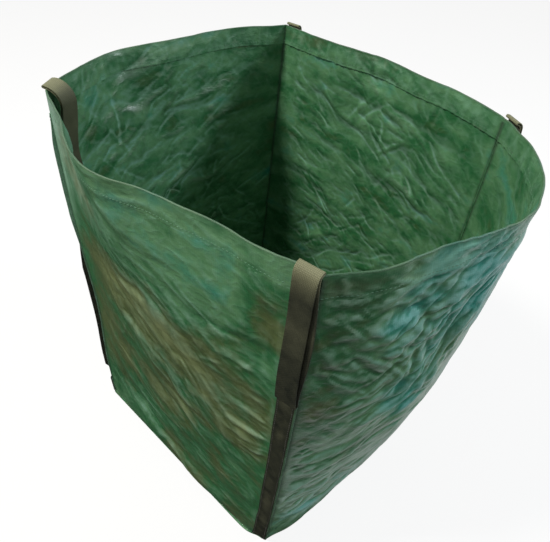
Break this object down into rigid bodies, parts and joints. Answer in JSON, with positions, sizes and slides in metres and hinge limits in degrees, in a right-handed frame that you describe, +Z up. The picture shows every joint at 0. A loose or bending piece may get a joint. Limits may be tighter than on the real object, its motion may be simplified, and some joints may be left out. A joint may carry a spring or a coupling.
{
  "type": "garden leaf bag",
  "caption": "Tall square-based soft bag of coated woven cloth with an open mouth, webbing straps up its corners and a webbing carrying loop at each.",
  "frame": {"origin": "centre of the square floor panel's underside", "axes": "+Z up from the floor to the mouth, +X out through the right wall, -Y out through the front wall"},
  "size_m": [0.5926, 0.5039, 0.6745],
  "materials": {
    "green_cloth": "crinkled, half gloss",
    "green_hem": "half gloss",
    "black_webbing": "matt woven",
    "black_thread": "matt"
  },
  "bodies": {
    "base": {"base_panel": "green_cloth", "wall_front": "green_cloth", "wall_right": "green_cloth", "wall_back": "green_cloth", "wall_left": "green_cloth", "seam_front": "green_cloth", "seam_right": "green_cloth", "seam_back": "green_cloth", "seam_left": "green_cloth", "strap_front": "black_webbing", "strap_right": "black_webbing", "strap_back": "black_webbing", "strap_left": "black_webbing"},
    "rim": {"rim_hem": "green_hem", "anchor_front": "black_webbing", "anchor_right": "black_webbing", "anchor_back": "black_webbing", "anchor_left": "black_webbing", "stitch_box_front": "black_thread", "stitch_box_right": "black_thread", "stitch_box_back": "black_thread", "stitch_box_left": "black_thread"},
    "handle_front": {"handle_front": "black_webbing"},
    "handle_right": {"handle_right": "black_webbing"},
    "handle_back": {"handle_back": "black_webbing"},
    "handle_left": {"handle_left": "black_webbing"}
  },
  "joints": [
    {"name": "collapse", "type": "slide", "parent": "base", "child": "rim", "axis": [0, 0, -1], "range_m": [0, 0.42], "deforming": ["wall_front", "wall_right", "wall_back", "wall_left", "seam_front", "seam_right", "seam_back", "seam_left", "strap_front", "strap_right", "strap_back", "strap_left"]},
    {"name": "handle_front_swing", "type": "hinge", "parent": "rim", "child": "handle_front", "pos_m": [0.21864, -0.21016, 0.67245], "axis": [-0.9953, -0.0971, 0], "range_deg": [0, 170]},
    {"name": "handle_right_swing", "type": "hinge", "parent": "rim", "child": "handle_right", "pos_m": [0.23775, 0.17593, 0.67245], "axis": [0.8147, -0.5799, 0], "range_deg": [0, 170]},
    {"name": "handle_back_swing", "type": "hinge", "parent": "rim", "child": "handle_back", "pos_m": [-0.18064, 0.23909, 0.67245], "axis": [0.9978, 0.0666, 0], "range_deg": [0, 170]},
    {"name": "handle_left_swing", "type": "hinge", "parent": "rim", "child": "handle_left", "pos_m": [-0.22062, -0.18592, 0.67245], "axis": [0.5569, -0.8306, 0], "range_deg": [0, 170]}
  ]
}
